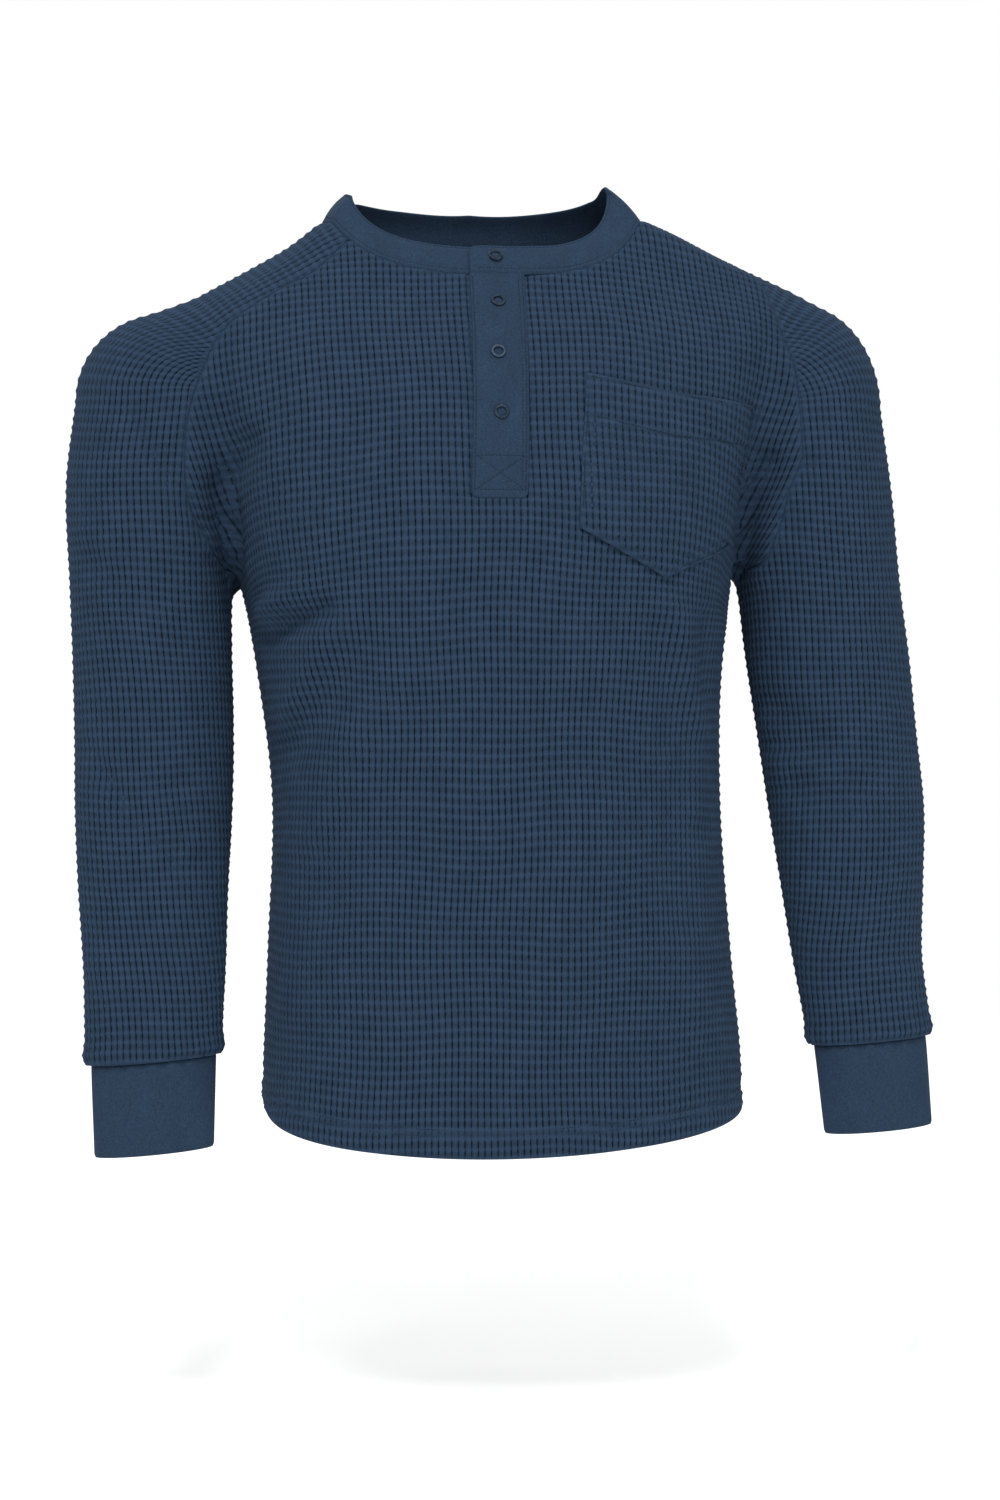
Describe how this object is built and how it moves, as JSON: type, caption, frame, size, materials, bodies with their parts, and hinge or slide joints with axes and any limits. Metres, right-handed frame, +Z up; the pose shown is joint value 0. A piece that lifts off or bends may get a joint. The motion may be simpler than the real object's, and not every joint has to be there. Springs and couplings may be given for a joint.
{
  "type": "thermal top",
  "caption": "Long-sleeved waffle-knit thermal top with a stand collar band, snap placket, chest pocket and jersey cuffs, filled out as worn.",
  "frame": {"origin": "in the neck opening, on the wearer's middle line at the height where the neckline crosses the shoulders", "axes": "+Z up, the front faces -Y, +X is the wearer's left"},
  "size_m": [0.6657, 0.2493, 0.7354],
  "materials": {
    "waffle": "matt navy waffle knit",
    "jersey": "smooth matt navy jersey",
    "snap_metal": "satin navy paint"
  },
  "bodies": {
    "root": {"front": "waffle", "back": "waffle", "sleeve_right": "waffle", "sleeve_left": "waffle", "pocket": "waffle", "cuff_right": "jersey", "cuff_left": "jersey", "collar_band": "jersey", "placket_under": "jersey", "placket_over": "jersey", "snap_1": "snap_metal", "snap_2": "snap_metal", "snap_3": "snap_metal", "snap_4": "snap_metal"}
  },
  "joints": []
}
